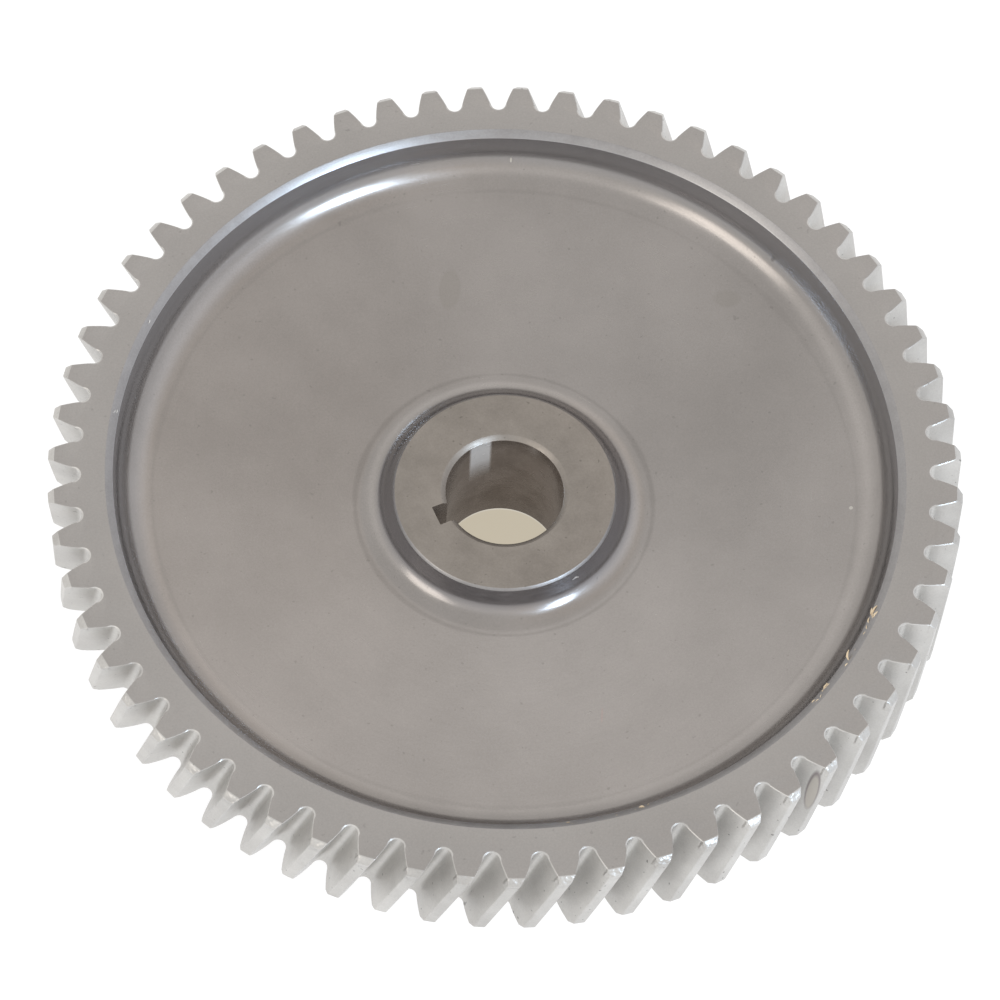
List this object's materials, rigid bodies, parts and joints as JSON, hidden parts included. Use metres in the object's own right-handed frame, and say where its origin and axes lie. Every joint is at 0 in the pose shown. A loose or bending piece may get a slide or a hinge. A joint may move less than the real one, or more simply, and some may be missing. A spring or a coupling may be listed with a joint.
{
  "type": "helical gear",
  "caption": "Helical gear with a dished web, a recessed front hub, a long rear hub and a keyed through bore.",
  "frame": {"origin": "on the bore axis, in the plane of the hub's back face, which is the lowest face", "axes": "+Z along the bore axis, from the long rear hub to the recessed front face; the keyway lies at 207 degrees about +Z from +X, and a tooth's middle at -0.2 degrees on the rim's front face"},
  "size_m": [0.191, 0.191, 0.043],
  "materials": {
    "machined_steel": "fine machined, lightly tumbled, dry"
  },
  "bodies": {
    "root": {"helical_gear": "machined_steel"}
  },
  "joints": []
}
